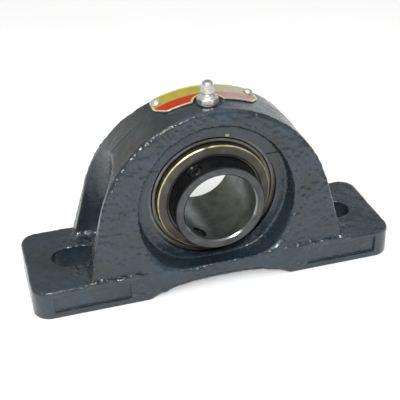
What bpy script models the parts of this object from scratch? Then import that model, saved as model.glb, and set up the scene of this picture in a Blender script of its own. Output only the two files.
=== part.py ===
"""Pillow block mounted ball bearing.

Frame: X along the base, Y along the shaft (the set screw side is -Y), Z up.
The origin is on the base plane, under the middle of the shaft axis.
All driving dimensions are in millimetres and are turned into metres by MM.
"""

import math

import bmesh
import bpy
from mathutils import Matrix, Vector

MM = 0.001

# ---------------------------------------------------------------- dimensions
BASE_LENGTH = 165.1          # 6 1/2 in
BASE_WIDTH = 47.6            # 1 7/8 in
SHAFT_HEIGHT = 39.7          # 1 9/16 in, low shaft height series
FOOT_THICKNESS = 13.5
FOOT_CORNER = 7.0
FOOT_EDGE = 1.5

ARCH_CENTRE_Z = 28.5         # the arch outline is an arc over straight flanks
ARCH_RADIUS = 52.5
FLANK_DRAFT = 15.0           # degrees from vertical
FACE_AT_BASE = 24.9          # half depth of the body at z = 0
FACE_DRAFT = 0.145           # half depth lost for each mm of height
ARCH_EDGE = 1.5

SLOT_SPACING = 120.6         # 4 3/4 in between slot centres
SLOT_WIDTH = 14.3            # 9/16 in
SLOT_LENGTH = 21.0

POCKET_HALF_WIDTH = 15.4     # room for the bolt head and washer
POCKET_NOSE_X = 62.7
POCKET_NOSE_RADIUS = 21.5

RELIEF_HALF = 32.5           # shallow arch under the base
RELIEF_MIDDLE = 4.6
RELIEF_SLOPE = 0.125

BOSS_PLANE = 11.8            # face of the boss ring, front and back
RECESS_RADIUS = 34.8
SEAT_RADIUS = 31.15          # spherical seat
INSERT_RADIUS = 30.85        # spherical outside of the outer ring
OUTER_HALF = 9.5             # half width of the outer ring

BORE_RADIUS = 15.875         # 1 1/4 in bore
COLLAR_RADIUS = 19.95
INNER_FRONT = -22.2          # set screw end
INNER_BACK = 15.9
SCREW_Y = -16.7
SCREW_ANGLES = (120.0, 240.0)
SCREW_RADIUS = 2.95
SCREW_HOLE = 3.25

BALL_COUNT = 9
BALL_RADIUS = 4.7625         # 3/8 in balls
PITCH_RADIUS = 23.0
RACE_RADIUS = 5.0

FITTING_Y = -4.0
FITTING_SEAT_Z = 80.2
FITTING_TIP_Z = 90.8
HEX_FLATS = 8.0

PLATE_GAP = 0.25
PLATE_THICKNESS = 0.6

RING_STEPS = 36


# ---------------------------------------------------------------- helpers
def clear_scene():
    for item in list(bpy.data.objects):
        bpy.data.objects.remove(item, do_unlink=True)


def material(name, colour, rough, metal):
    mat = bpy.data.materials.new(name)
    mat.use_nodes = True
    shader = mat.node_tree.nodes["Principled BSDF"]
    shader.inputs["Base Color"].default_value = (*colour, 1.0)
    shader.inputs["Roughness"].default_value = rough
    shader.inputs["Metallic"].default_value = metal
    return mat


def is_flat(face):
    face.normal_update()
    middle = face.calc_center_median()
    return all(abs((v.co - middle).dot(face.normal)) < 2e-5 for v in face.verts)


def finish(bm, name, mat, location=(0.0, 0.0, 0.0), sharp=35.0, cutter=False):
    """Turn a bmesh in millimetres into an object placed at location (mm)."""
    bmesh.ops.remove_doubles(bm, verts=bm.verts, dist=1e-5)
    bmesh.ops.recalc_face_normals(bm, faces=bm.faces)
    twisted = [f for f in bm.faces if len(f.verts) > 3 and not is_flat(f)]
    bmesh.ops.triangulate(bm, faces=twisted)
    bmesh.ops.scale(bm, vec=(MM, MM, MM), verts=bm.verts)
    mesh = bpy.data.meshes.new(name)
    bm.to_mesh(mesh)
    bm.free()
    obj = bpy.data.objects.new(name, mesh)
    bpy.context.scene.collection.objects.link(obj)
    obj.location = Vector(location) * MM
    if cutter:
        obj.hide_render = True
        obj.display_type = "WIRE"
    else:
        mesh.materials.append(mat)
        mesh.shade_smooth()
        mesh.set_sharp_from_angle(angle=math.radians(sharp))
    return obj


def lathe(profile, steps=RING_STEPS, axis=(0, 1, 0)):
    """Spin a closed profile of (radius, along) points about an axis through the origin."""
    bm = bmesh.new()
    if axis == (0, 1, 0):
        points = [bm.verts.new((r, a, 0.0)) for r, a in profile]
    else:
        points = [bm.verts.new((r, 0.0, a)) for r, a in profile]
    closed = profile[0][0] > 1e-6 or profile[-1][0] > 1e-6
    edges = [bm.edges.new((points[i], points[i + 1])) for i in range(len(points) - 1)]
    if closed:
        edges.append(bm.edges.new((points[-1], points[0])))
    bmesh.ops.spin(
        bm, geom=points + edges, cent=(0, 0, 0), axis=axis, dvec=(0, 0, 0),
        angle=math.tau, steps=steps, use_merge=True, use_duplicate=False,
    )
    bmesh.ops.remove_doubles(bm, verts=bm.verts, dist=1e-4)
    return bm


def arc(centre, radius, start, stop, count):
    """Points of an arc in the (radius, along) plane, angles in degrees from the radial direction."""
    out = []
    for i in range(count + 1):
        t = math.radians(start + (stop - start) * i / count)
        out.append((centre[0] + radius * math.cos(t), centre[1] + radius * math.sin(t)))
    return out


def prism(outline, low, high, axis="Z"):
    """Extrude a flat outline of (u, v) points between low and high."""
    bm = bmesh.new()
    if axis == "Z":
        verts = [bm.verts.new((u, v, low)) for u, v in outline]
        step = (0, 0, high - low)
    else:
        verts = [bm.verts.new((u, low, v)) for u, v in outline]
        step = (0, high - low, 0)
    face = bm.faces.new(verts)
    grown = bmesh.ops.extrude_face_region(bm, geom=[face])
    moved = [g for g in grown["geom"] if isinstance(g, bmesh.types.BMVert)]
    bmesh.ops.translate(bm, vec=step, verts=moved)
    return bm


def rod(radius, start, stop, steps=16):
    """A cylinder between two points, in millimetres."""
    a, b = Vector(start), Vector(stop)
    bm = bmesh.new()
    turn = (b - a).to_track_quat("Z", "Y").to_matrix().to_4x4()
    bmesh.ops.create_cone(
        bm, cap_ends=True, segments=steps, radius1=radius, radius2=radius,
        depth=(b - a).length, matrix=Matrix.Translation((a + b) / 2) @ turn,
    )
    return bm


def join(target, other):
    """Add another bmesh to target."""
    mesh = bpy.data.meshes.new("joined")
    other.to_mesh(mesh)
    other.free()
    target.from_mesh(mesh)
    bpy.data.meshes.remove(mesh)
    return target


def boolean(obj, other, operation="DIFFERENCE"):
    mod = obj.modifiers.new(other.name, "BOOLEAN")
    mod.operation = operation
    mod.solver = "EXACT"
    mod.object = other
    other.hide_render = True
    other.display_type = "WIRE"
    return mod


def parent_to(obj, empty):
    """Parent while keeping the place given by obj.location in the empty's own frame."""
    obj.parent = empty


def polar(angle, radius):
    """(x, z) at an angle in degrees about the shaft axis, measured from +X towards +Z."""
    t = math.radians(angle)
    return radius * math.cos(t), radius * math.sin(t)


# ---------------------------------------------------------------- materials
def make_materials():
    return {
        "housing": material("housing_paint", (0.105, 0.135, 0.150), 0.42, 0.0),
        "dark_steel": material("black_oxide_steel", (0.035, 0.035, 0.037), 0.30, 0.9),
        "ring_steel": material("ring_steel", (0.16, 0.16, 0.15), 0.32, 0.9),
        "ball_steel": material("ball_steel", (0.62, 0.62, 0.64), 0.12, 1.0),
        "cage_steel": material("cage_steel", (0.50, 0.49, 0.46), 0.35, 1.0),
        "seal_rubber": material("seal_rubber", (0.02, 0.02, 0.02), 0.65, 0.0),
        "flinger": material("flinger_steel", (0.30, 0.28, 0.22), 0.30, 0.9),
        "zinc": material("zinc_plate", (0.70, 0.70, 0.68), 0.28, 1.0),
        "plate": material("plate_gold", (0.55, 0.47, 0.12), 0.35, 0.6),
        "spring": material("spring_steel", (0.55, 0.55, 0.56), 0.30, 1.0),
    }


# ---------------------------------------------------------------- housing
def make_foot_slab():
    bm = bmesh.new()
    outline = []
    hx, hy = BASE_LENGTH / 2, BASE_WIDTH / 2
    for sx, sy, first in ((1, 1, 0), (-1, 1, 90), (-1, -1, 180), (1, -1, 270)):
        for i in range(6):
            t = math.radians(first + 90 * i / 5)
            outline.append((
                sx * (hx - FOOT_CORNER) + FOOT_CORNER * math.cos(t),
                sy * (hy - FOOT_CORNER) + FOOT_CORNER * math.sin(t),
            ))
    bm.free()
    bm = prism(outline, 0.0, FOOT_THICKNESS)
    top = [e for e in bm.edges if all(v.co.z > FOOT_THICKNESS - 0.01 for v in e.verts)]
    bmesh.ops.bevel(bm, geom=top, offset=FOOT_EDGE, segments=2, profile=0.5, affect="EDGES")
    return bm


def make_arch_body():
    """The arch: outline in XZ, front and back faces leaning in towards the top."""
    lean = math.radians(FLANK_DRAFT)
    low = 8.0
    tangent_x = ARCH_RADIUS * math.cos(lean)
    tangent_z = ARCH_CENTRE_Z + ARCH_RADIUS * math.sin(lean)
    foot_x = tangent_x + (tangent_z - low) * math.tan(lean)
    outline = [(foot_x, low)]
    steps = 36
    for i in range(steps + 1):
        t = lean + (math.pi - 2 * lean) * i / steps
        outline.append((ARCH_RADIUS * math.cos(t), ARCH_CENTRE_Z + ARCH_RADIUS * math.sin(t)))
    outline.append((-foot_x, low))
    bm = bmesh.new()
    front = [bm.verts.new((x, -(FACE_AT_BASE - FACE_DRAFT * z), z)) for x, z in outline]
    back = [bm.verts.new((x, FACE_AT_BASE - FACE_DRAFT * z, z)) for x, z in outline]
    bm.faces.new(front)
    bm.faces.new(list(reversed(back)))
    count = len(outline)
    for i in range(count):
        j = (i + 1) % count
        bm.faces.new((front[i], back[i], back[j], front[j]))
    rim = [
        e for e in bm.edges
        if all(v.co.z > low + 0.01 or abs(v.co.x) > foot_x - 0.01 for v in e.verts)
        and e.verts[0].co.y * e.verts[1].co.y > 0
        and not all(v.co.z < low + 0.01 for v in e.verts)
    ]
    bmesh.ops.bevel(bm, geom=rim, offset=ARCH_EDGE, segments=2, profile=0.5, affect="EDGES")
    return bm


def make_pocket(side):
    """Room over a slot for the bolt head: a rounded nose towards the middle, open outwards."""
    half = POCKET_HALF_WIDTH
    edge = math.asin(half / POCKET_NOSE_RADIUS)
    outline = []
    for i in range(13):
        t = -edge + 2 * edge * i / 12
        outline.append((-(POCKET_NOSE_X - POCKET_NOSE_RADIUS * math.cos(t)), -POCKET_NOSE_RADIUS * math.sin(t)))
    outline += [(-100.0, -half), (-100.0, half)]
    bm = prism([(x * -side, y) for x, y in outline], FOOT_THICKNESS, 100.0)
    corners = [
        e for e in bm.edges
        if abs(abs(e.verts[0].co.y) - half) < 0.01 and abs(e.verts[0].co.x) < 60
        and (e.verts[0].co - e.verts[1].co).xy.length < 1e-4
    ]
    bmesh.ops.bevel(bm, geom=corners, offset=3.0, segments=3, profile=0.5, affect="EDGES")
    return bm


def make_slot(side):
    outline = []
    radius = SLOT_WIDTH / 2
    reach = SLOT_LENGTH / 2 - radius
    for first, cx in ((-90, reach), (90, -reach)):
        for i in range(11):
            t = math.radians(first + 18 * i)
            outline.append((side * SLOT_SPACING / 2 + cx + radius * math.cos(t), radius * math.sin(t)))
    return prism(outline, -5.0, FOOT_THICKNESS + 5.0)


def make_relief():
    """Shallow arch under the base. It is higher at the faces than in the middle, as moulding draft leaves it."""
    bm = bmesh.new()
    rings = []
    for y in (-30.0, 0.0, 30.0):
        height = RELIEF_MIDDLE + RELIEF_SLOPE * abs(y)
        ring = [bm.verts.new((-RELIEF_HALF - 6.0, y, -4.0))]
        for i in range(21):
            x = (RELIEF_HALF + 1.3) * (i - 10) / 10
            z = height * (1 - abs(x / RELIEF_HALF) ** 3.2)
            ring.append(bm.verts.new((x, y, z)))
        ring.append(bm.verts.new((RELIEF_HALF + 6.0, y, -4.0)))
        rings.append(ring)
    count = len(rings[0])
    for a, b in zip(rings, rings[1:]):
        for i in range(count):
            j = (i + 1) % count
            bm.faces.new((a[i], a[j], b[j], b[i]))
    bm.faces.new(rings[0])
    bm.faces.new(list(reversed(rings[-1])))
    return bm


def make_recess(side):
    """The round recess round the boss ring, with its floor rising to a ledge at the foot."""
    outline = []
    for i in range(56):
        t = math.tau * i / 56
        outline.append((RECESS_RADIUS * math.cos(t), SHAFT_HEIGHT + RECESS_RADIUS * math.sin(t)))
    bm = prism(outline, BOSS_PLANE, 40.0, axis="Y")
    # ramp from z 7.4 at the boss plane to z 12.6 at the base's face
    normal = Vector((0, -(12.6 - 7.4), (23.8 - BOSS_PLANE))).normalized()
    cut = bmesh.ops.bisect_plane(
        bm, geom=bm.verts[:] + bm.edges[:] + bm.faces[:], dist=1e-5,
        plane_co=(0, BOSS_PLANE, 7.4), plane_no=normal, clear_inner=True,
    )
    rim = [g for g in cut["geom_cut"] if isinstance(g, bmesh.types.BMEdge)]
    bmesh.ops.holes_fill(bm, edges=rim, sides=0)
    if side < 0:
        bmesh.ops.scale(bm, vec=(1, -1, 1), verts=bm.verts)
        bmesh.ops.reverse_faces(bm, faces=bm.faces)
    return bm


def make_seat():
    """Spherical seat with a shallow grease groove."""
    edge = 12.4
    angle = math.degrees(math.asin(edge / SEAT_RADIUS))
    groove = 5.0
    g0 = math.degrees(math.asin((groove - 1.5) / SEAT_RADIUS))
    g1 = math.degrees(math.asin((groove + 1.5) / SEAT_RADIUS))
    profile = [(0.0, -edge)]
    profile += arc((0, 0), SEAT_RADIUS, -angle, -g1, 2)
    profile += arc((0, 0), SEAT_RADIUS + 0.8, -g1 + 1.0, -g0 - 1.0, 1)
    profile += arc((0, 0), SEAT_RADIUS, -g0, angle, 6)
    profile += [(0.0, edge)]
    bm = lathe(profile, 48)
    return bm


def make_housing(mats):
    housing = finish(make_foot_slab(), "housing", mats["housing"], sharp=30)
    centre = (0.0, 0.0, SHAFT_HEIGHT)
    boolean(housing, finish(make_arch_body(), "add_arch_body", None, cutter=True), "UNION")
    boolean(housing, finish(make_relief(), "cut_base_relief", None, cutter=True))
    for side, word in ((-1, "left"), (1, "right")):
        boolean(housing, finish(make_pocket(side), "cut_pocket_" + word, None, cutter=True))
        boolean(housing, finish(make_slot(side), "cut_slot_" + word, None, cutter=True))
    boolean(housing, finish(make_recess(-1), "cut_recess_front", None, cutter=True))
    boolean(housing, finish(make_recess(1), "cut_recess_back", None, cutter=True))
    boolean(housing, finish(make_seat(), "cut_seat", None, location=centre, cutter=True))

    # loading slots for the insert, in the back boss only
    load = prism([(-31.3, -9.9), (31.3, -9.9), (31.3, 9.9), (-31.3, 9.9)], 0.0, 14.0, axis="Y")
    boolean(housing, finish(load, "cut_loading_slots", None, location=centre, cutter=True))

    # grease fitting: spot face, tapped hole and passage down to the seat
    fitting = lathe([
        (0.0, 95.0), (5.9, 95.0), (5.9, FITTING_SEAT_Z), (3.2, FITTING_SEAT_Z),
        (3.2, 75.2), (0.9, 74.0), (0.9, 68.0), (0.0, 68.0),
    ], 18, axis=(0, 0, 1))
    boolean(housing, finish(fitting, "cut_fitting_hole", None, location=(0, FITTING_Y, 0), cutter=True))

    # keyway for the lock pin, and the two drive screw holes
    key = prism([(-1.65, -2.9), (1.65, -2.9), (1.65, 2.9), (-1.65, 2.9)], SHAFT_HEIGHT + 28.0, SHAFT_HEIGHT + 33.2)
    boolean(housing, finish(key, "cut_lock_keyway", None, cutter=True))
    for place in screw_places():
        foot = place["foot"]
        out = place["out"]
        hole = rod(1.35, foot - out * 6.2, foot + out * 3.0, 12)
        boolean(housing, finish(hole, "cut_" + place["name"], None, cutter=True))
    return housing


# ---------------------------------------------------------------- plate and its screws
PLATE_LEFT = -24.0           # degrees either side of the arch's top
PLATE_RIGHT = 27.5
PLATE_FRONT = -3.2
PLATE_BACK = 12.0
PLATE_SCREWS = (("drive_screw_left", -21.3, 7.6), ("drive_screw_right", 24.3, 7.6))


def screw_places():
    out = []
    for name, angle, y in PLATE_SCREWS:
        t = math.radians(angle)
        normal = Vector((math.sin(t), 0, math.cos(t)))
        out.append({
            "name": name, "out": normal,
            "foot": Vector((0, y, ARCH_CENTRE_Z)) + normal * ARCH_RADIUS,
        })
    return out


def make_nameplate(mats):
    """A curved strip on the arch with chamfered corners and a notch round the fitting."""
    inner = ARCH_RADIUS + PLATE_GAP
    outer = inner + PLATE_THICKNESS
    bm = bmesh.new()
    steps = 24
    columns = []
    for i in range(steps + 1):
        a = PLATE_LEFT + (PLATE_RIGHT - PLATE_LEFT) * i / steps
        t = math.radians(a)
        ends = min(a - PLATE_LEFT, PLATE_RIGHT - a)
        front = PLATE_FRONT + max(0.0, 5.0 - ends) * 1.25
        back = PLATE_BACK - max(0.0, 2.2 - ends) * 0.9
        column = []
        for radius, y in ((inner, front), (outer, front), (outer, back), (inner, back)):
            column.append(bm.verts.new((radius * math.sin(t), y, ARCH_CENTRE_Z + radius * math.cos(t))))
        columns.append(column)
    for a, b in zip(columns, columns[1:]):
        for i in range(4):
            j = (i + 1) % 4
            bm.faces.new((a[i], a[j], b[j], b[i]))
    bm.faces.new(columns[0])
    bm.faces.new(list(reversed(columns[-1])))
    plate = finish(bm, "nameplate", mats["plate"], sharp=30)
    notch = rod(6.7, (0, FITTING_Y, 76.0), (0, FITTING_Y, 90.0), 24)
    boolean(plate, finish(notch, "cut_plate_notch", None, cutter=True))
    for place in screw_places():
        hole = rod(1.7, place["foot"] - place["out"] * 3, place["foot"] + place["out"] * 4, 12)
        boolean(plate, finish(hole, "cut_plate_" + place["name"], None, cutter=True))
    return plate


def make_drive_screws(mats):
    top = PLATE_GAP + PLATE_THICKNESS + 0.25
    for place in screw_places():
        bm = lathe([
            (0.0, top + 1.35), (1.3, top + 1.15), (2.1, top + 0.6), (2.4, top),
            (1.1, top), (1.1, -5.2), (0.5, -5.8), (0.0, -5.8),
        ], 16, axis=(0, 0, 1))
        obj = finish(bm, place["name"], mats["zinc"], location=place["foot"])
        obj.rotation_euler = place["out"].to_track_quat("Z", "Y").to_euler()


# ---------------------------------------------------------------- grease fitting
def make_fitting(mats):
    base = FITTING_SEAT_Z + 0.25
    hex_top = base + 4.1
    tip = FITTING_TIP_Z
    place = (0.0, FITTING_Y, 0.0)
    outline = []
    for i in range(6):
        t = math.radians(60 * i + 30 + 90 - 16)
        radius = HEX_FLATS / 2 / math.cos(math.radians(30))
        outline.append((radius * math.cos(t), radius * math.sin(t)))
    body = finish(prism(outline, base, hex_top), "grease_fitting_body", mats["zinc"], location=place, sharp=30)
    turned = lathe([
        (0.0, tip), (1.7, tip), (2.1, tip - 0.6), (2.95, tip - 4.2), (2.75, tip - 4.8),
        (2.25, tip - 5.5), (3.3, hex_top - 0.3), (3.3, base + 0.5), (2.85, base + 0.5), (2.85, base - 4.3),
        (2.5, base - 4.8), (0.0, base - 4.8),
    ], 24, axis=(0, 0, 1))
    boolean(body, finish(turned, "add_fitting_turned", None, location=place, cutter=True), "UNION")
    bore = lathe([
        (0.0, tip + 2), (0.85, tip + 2), (0.85, tip - 0.9), (1.55, tip - 1.5), (1.55, base - 3.2),
        (0.8, base - 3.2), (0.8, base - 7), (0.0, base - 7),
    ], 20, axis=(0, 0, 1))
    boolean(body, finish(bore, "cut_fitting_bore", None, location=place, cutter=True))
    ball_z = tip - 2.35
    ball = bmesh.new()
    bmesh.ops.create_uvsphere(ball, u_segments=12, v_segments=8, radius=1.05)
    finish(ball, "grease_check_ball", mats["ball_steel"], location=(0, FITTING_Y, ball_z))

    # check spring: a coil from the shelf in the bore up to just under the ball
    low, high, turns, wire, coil = base - 2.8, ball_z - 1.5, 6, 0.17, 1.08
    steps = turns * 9
    bm = bmesh.new()
    rings = []
    for i in range(steps + 1):
        t = math.tau * turns * i / steps
        centre = Vector((coil * math.cos(t), coil * math.sin(t), low + (high - low) * i / steps))
        outward = Vector((math.cos(t), math.sin(t), 0))
        rings.append([
            bm.verts.new(centre + outward * wire * math.cos(math.tau * k / 4) + Vector((0, 0, wire * math.sin(math.tau * k / 4))))
            for k in range(4)
        ])
    for a, b in zip(rings, rings[1:]):
        for k in range(4):
            m = (k + 1) % 4
            bm.faces.new((a[k], b[k], b[m], a[m]))
    bm.faces.new(list(reversed(rings[0])))
    bm.faces.new(rings[-1])
    finish(bm, "grease_spring", mats["spring"], location=place)


# ---------------------------------------------------------------- insert
def make_outer_ring(mats, centre):
    half = OUTER_HALF
    edge = math.degrees(math.asin(half / INSERT_RADIUS))
    profile = arc((0, 0), INSERT_RADIUS, -edge, edge, 7)
    profile += [(27.3, half), (27.2, 7.1), (26.0, 7.1)]
    profile += arc((PITCH_RADIUS, 0), RACE_RADIUS, 53, -53, 6)
    profile += [(26.0, -7.1), (27.2, -7.1), (27.3, -half)]
    ring = finish(lathe(profile, 44), "outer_ring", mats["ring_steel"], sharp=30)
    parent_to(ring, centre)
    pin_hole = rod(1.6, (0, 0, 29.1), (0, 0, 33.0), 14)
    hole = finish(pin_hole, "cut_pin_hole", None, cutter=True)
    parent_to(hole, centre)
    boolean(ring, hole)
    grease = bmesh.new()
    for angle in (60.0, 240.0):
        x, z = polar(angle, 1.0)
        join(grease, rod(0.8, (x * 24.5, -5.5, z * 24.5), (x * 33, -5.5, z * 33), 10))
    hole = finish(grease, "cut_ring_grease_holes", None, cutter=True)
    parent_to(hole, centre)
    boolean(ring, hole)
    return ring


def make_inner_ring(mats, centre):
    front, back = INNER_FRONT, INNER_BACK
    bore, collar, c = BORE_RADIUS, COLLAR_RADIUS, 0.7
    profile = [(bore + c, front), (bore, front + c), (bore, back - c), (bore + c, back), (collar - c, back), (collar, back - c)]
    profile += arc((PITCH_RADIUS, 0), RACE_RADIUS, 180 - 52, 180 + 52, 6)
    profile += [(collar, front + c), (collar - c, front)]
    ring = finish(lathe(profile, 48), "inner_ring", mats["dark_steel"], sharp=30)
    parent_to(ring, centre)
    holes = bmesh.new()
    for angle in SCREW_ANGLES:
        x, z = polar(angle, 1.0)
        join(holes, rod(SCREW_HOLE, (x * 12, SCREW_Y, z * 12), (x * 24, SCREW_Y, z * 24), 16))
    cutter = finish(holes, "cut_set_screw_holes", None, cutter=True)
    parent_to(cutter, centre)
    boolean(ring, cutter)
    return ring


def make_set_screws(mats, centre):
    for number, angle in enumerate(SCREW_ANGLES, 1):
        x, z = polar(angle, 1.0)
        bm = lathe([
            (0.0, 19.65), (SCREW_RADIUS - 0.4, 19.65), (SCREW_RADIUS, 19.25), (SCREW_RADIUS, 17.1),
            (2.0, 16.2), (1.3, 16.2), (0.8, 16.6), (0.0, 16.6),
        ], 20, axis=(0, 0, 1))
        bmesh.ops.translate(bm, vec=(0, 0, -18.0), verts=bm.verts)
        screw = finish(bm, "set_screw_%d" % number, mats["dark_steel"])
        socket = prism([(1.75 * math.cos(math.radians(60 * i)), 1.75 * math.sin(math.radians(60 * i))) for i in range(6)], -0.1, 3.0)
        cut = finish(socket, "cut_socket_%d" % number, None, cutter=True)
        for item in (screw, cut):
            item.location = Vector((x * 18.0, SCREW_Y, z * 18.0)) * MM
            item.rotation_euler = (0, math.radians(90 - angle), 0)
            parent_to(item, centre)
        boolean(screw, cut)


def make_balls_and_cage(mats, centre):
    mesh = None
    for i in range(BALL_COUNT):
        x, z = polar(90 + 20 + 360 * i / BALL_COUNT, PITCH_RADIUS)
        name = "ball_%d" % (i + 1)
        if mesh is None:
            bm = bmesh.new()
            bmesh.ops.create_uvsphere(bm, u_segments=12, v_segments=8, radius=BALL_RADIUS)
            ball = finish(bm, name, mats["ball_steel"])
            mesh = ball.data
        else:
            ball = bpy.data.objects.new(name, mesh)
            bpy.context.scene.collection.objects.link(ball)
        ball.location = Vector((x, 0, z)) * MM
        parent_to(ball, centre)

    pockets = bmesh.new()
    for i in range(BALL_COUNT):
        x, z = polar(90 + 20 + 360 * i / BALL_COUNT, PITCH_RADIUS)
        one = bmesh.new()
        bmesh.ops.create_uvsphere(one, u_segments=12, v_segments=8, radius=5.2, matrix=Matrix.Translation((x, 0, z)))
        join(pockets, one)
    cutter = finish(pockets, "cut_cage_pockets", None, cutter=True)
    parent_to(cutter, centre)
    for name, side in (("cage_front", -1), ("cage_rear", 1)):
        half = lathe([(22.1, side * 0.15), (23.9, side * 0.15), (23.9, side * 5.95), (22.1, side * 5.95)], 36)
        cage = finish(half, name, mats["cage_steel"], sharp=30)
        parent_to(cage, centre)
        boolean(cage, cutter)


def make_seals(mats, centre):
    for word, side in (("front", -1), ("rear", 1)):
        case = finish(lathe([
            (22.7, side * 7.6), (22.7, side * 8.2), (25.2, side * 8.3), (25.5, side * 9.5),
            (26.9, side * 9.4), (26.9, side * 7.5), (26.3, side * 7.5),
        ]), word + "_seal_case", mats["ring_steel"], sharp=30)
        lip = finish(lathe([
            (20.25, side * 8.9), (20.6, side * 9.0), (22.4, side * 8.3), (22.4, side * 7.5),
            (20.9, side * 7.5), (20.25, side * 7.9),
        ]), word + "_seal_lip", mats["seal_rubber"], sharp=30)
        flinger = finish(lathe([
            (20.25, side * 12.9), (20.5, side * 13.1), (21.0, side * 13.1), (21.25, side * 13.6), (21.6, side * 13.7),
            (24.9, side * 12.9), (25.25, side * 12.5), (25.25, side * 10.2), (24.55, side * 10.2), (24.55, side * 12.2),
            (21.6, side * 12.9), (21.05, side * 12.4), (21.05, side * 9.9), (20.25, side * 9.9),
        ]), word + "_flinger", mats["flinger"], sharp=30)
        for item in (case, lip, flinger):
            parent_to(item, centre)


def make_lock_pin(mats, centre):
    bm = lathe([(0.0, 32.5), (1.0, 32.5), (1.3, 32.2), (1.3, 29.8), (1.0, 29.5), (0.0, 29.5)], 14, axis=(0, 0, 1))
    pin = finish(bm, "lock_pin", mats["zinc"])
    parent_to(pin, centre)


# ---------------------------------------------------------------- assembly
def main():
    clear_scene()
    mats = make_materials()
    centre = bpy.data.objects.new("shaft_centre", None)
    bpy.context.scene.collection.objects.link(centre)
    centre.location = (0, 0, SHAFT_HEIGHT * MM)
    make_housing(mats)
    make_nameplate(mats)
    make_drive_screws(mats)
    make_fitting(mats)
    make_outer_ring(mats, centre)
    make_inner_ring(mats, centre)
    make_set_screws(mats, centre)
    make_balls_and_cage(mats, centre)
    make_seals(mats, centre)
    make_lock_pin(mats, centre)


main()
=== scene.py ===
import math

import bmesh
import bpy
import numpy as np
from mathutils import Matrix, Vector


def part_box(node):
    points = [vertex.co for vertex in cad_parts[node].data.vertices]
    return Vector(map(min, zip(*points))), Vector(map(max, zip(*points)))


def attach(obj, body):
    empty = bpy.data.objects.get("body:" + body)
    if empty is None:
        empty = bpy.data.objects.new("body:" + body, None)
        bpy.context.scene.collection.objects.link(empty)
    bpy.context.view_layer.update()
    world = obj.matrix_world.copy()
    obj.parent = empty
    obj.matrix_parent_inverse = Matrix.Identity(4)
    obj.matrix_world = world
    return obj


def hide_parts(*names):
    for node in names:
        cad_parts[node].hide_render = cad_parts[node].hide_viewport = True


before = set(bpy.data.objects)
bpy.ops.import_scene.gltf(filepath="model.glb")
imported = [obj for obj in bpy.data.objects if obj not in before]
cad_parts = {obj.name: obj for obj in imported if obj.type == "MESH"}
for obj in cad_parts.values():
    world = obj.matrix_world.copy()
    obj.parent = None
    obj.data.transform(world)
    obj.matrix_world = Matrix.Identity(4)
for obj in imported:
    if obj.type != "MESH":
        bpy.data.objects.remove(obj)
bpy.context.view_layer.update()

MM = 0.001

# Sizes in millimetres, in the row frame: +X along the base, +Y along the shaft, +Z up.
H = 39.7                     # shaft height
FOOT_HALF, FOOT_DEPTH, FOOT_TOP = 82.55, 23.8, 13.5
ARCH_Z, ARCH_R = 28.5, 52.5
BOSS = 11.8                  # front and back planes of the boss ring
RECESS_R = 34.8
SEAT_R = 31.15
FITTING_Y = -4.0


# ================================================================ small helpers
def smooth(x, a, b):
    t = np.clip((x - a) / (b - a), 0.0, 1.0)
    return t * t * (3 - 2 * t)


def rounded_union(a, b, r):
    return np.maximum(r, np.minimum(a, b)) - np.hypot(np.maximum(r - a, 0), np.maximum(r - b, 0))


def rounded_common(a, b, r):
    return np.minimum(-r, np.maximum(a, b)) + np.hypot(np.maximum(r + a, 0), np.maximum(r + b, 0))


def rounded_cut(a, b, r):
    return rounded_common(a, -b, r)


def lattice(i, j, k, seed):
    """A repeatable value from -1 to 1 at each whole-number point."""
    n = (i * 73856093) ^ (j * 19349663) ^ (k * 83492791) ^ (seed * 2654435)
    n = (n ^ (n >> 13)) & 0x7FFFFFFF
    n = (n * (n * n * 15731 + 789221) + 1376312589) & 0x7FFFFFFF
    return 1.0 - n.astype(np.float64) / 1073741824.0


def noise(x, y, z, size, seed):
    """Smooth value noise with lumps about size mm wide."""
    x, y, z = x / size, y / size, z / size
    i, j, k = np.floor(x).astype(np.int64), np.floor(y).astype(np.int64), np.floor(z).astype(np.int64)
    u, v, w = x - i, y - j, z - k
    u, v, w = u * u * (3 - 2 * u), v * v * (3 - 2 * v), w * w * (3 - 2 * w)
    out = 0.0
    for a in (0, 1):
        for b in (0, 1):
            for c in (0, 1):
                weight = (u if a else 1 - u) * (v if b else 1 - v) * (w if c else 1 - w)
                out = out + weight * lattice(i + a, j + b, k + c, seed)
    return out


def gradient(field, p, eps=0.03):
    g = np.empty_like(p)
    for axis in range(3):
        d = np.zeros(3)
        d[axis] = eps
        a, b = p + d, p - d
        g[:, axis] = field(a[:, 0], a[:, 1], a[:, 2]) - field(b[:, 0], b[:, 1], b[:, 2])
    n = np.linalg.norm(g, axis=1, keepdims=True)
    return g / np.maximum(n, 1e-12)


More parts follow.
